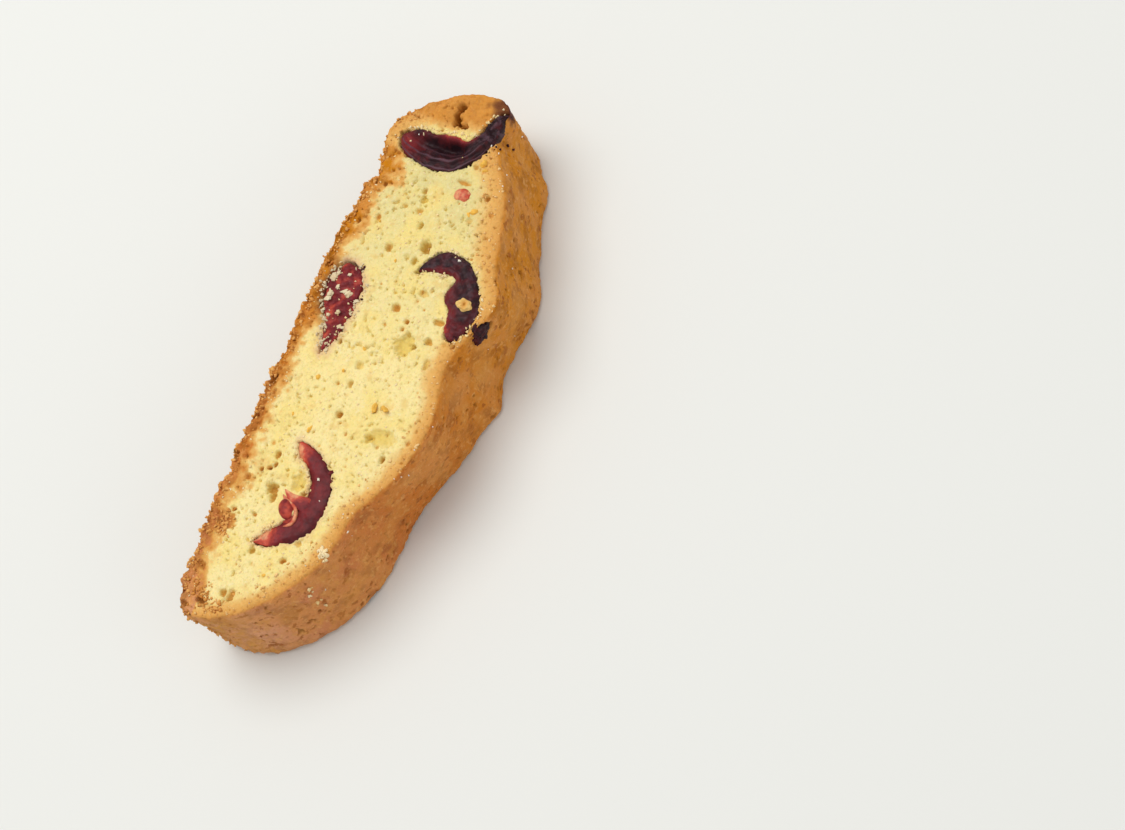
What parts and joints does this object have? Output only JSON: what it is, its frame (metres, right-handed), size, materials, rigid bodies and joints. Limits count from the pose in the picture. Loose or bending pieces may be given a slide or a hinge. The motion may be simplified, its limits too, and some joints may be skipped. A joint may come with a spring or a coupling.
{
  "type": "biscotti",
  "caption": "Long twice-baked biscuit slice with pale crumb faces, a browned domed crust, a craggy flat base and dried berries set in the crumb.",
  "frame": {"origin": "middle of the underside, on the surface that the slice lies on", "axes": "+X along the slice, from its pointed end to its blunt end; +Y toward the flat loaf base; +Z out of the upper cut face"},
  "size_m": [0.1004, 0.0344, 0.0183],
  "materials": {
    "biscuit": "dry pale baked crumb with a matt golden-brown crust",
    "dried_berry": "dark red dried fruit, satin and slightly sticky"
  },
  "bodies": {
    "root": {"slice": "biscuit", "berry_far_end": "dried_berry", "berry_middle": "dried_berry", "berry_near_end": "dried_berry", "berry_base_side": "dried_berry", "berry_scrap": "dried_berry", "berry_crust_side": "dried_berry"}
  },
  "joints": []
}
